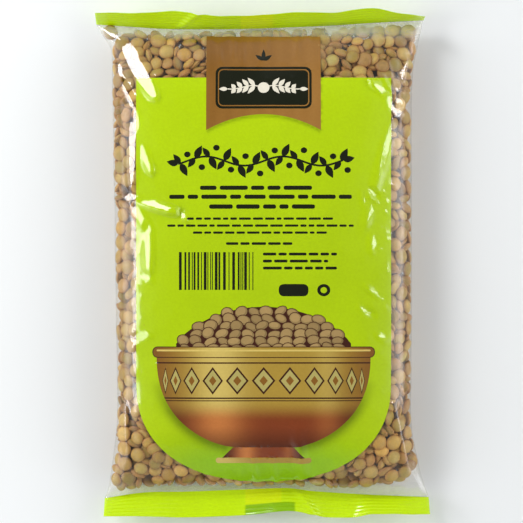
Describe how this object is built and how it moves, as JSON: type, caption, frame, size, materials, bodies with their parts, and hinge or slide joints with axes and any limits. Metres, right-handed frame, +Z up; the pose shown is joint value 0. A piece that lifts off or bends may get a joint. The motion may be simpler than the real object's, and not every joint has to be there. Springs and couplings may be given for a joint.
{
  "type": "sealed clear pack of dry green lentils",
  "caption": "Pillow-shaped clear film pack filled with dry green lentils, with a printed green front panel and a crimped green seal across each end.",
  "frame": {"origin": "on the resting plane, under the middle of the pack's box", "axes": "+X across the printed front to its right, +Y towards the top seal, +Z up out of the printed front"},
  "size_m": [0.1524, 0.2328, 0.029],
  "materials": {
    "film": "clear glossy film over tan-green lentils, with opaque yellow-green print on the front and seals",
    "lentils": "dry matt tan-green seed coat"
  },
  "bodies": {
    "root": {"lentil_pack": "film"}
  },
  "joints": []
}
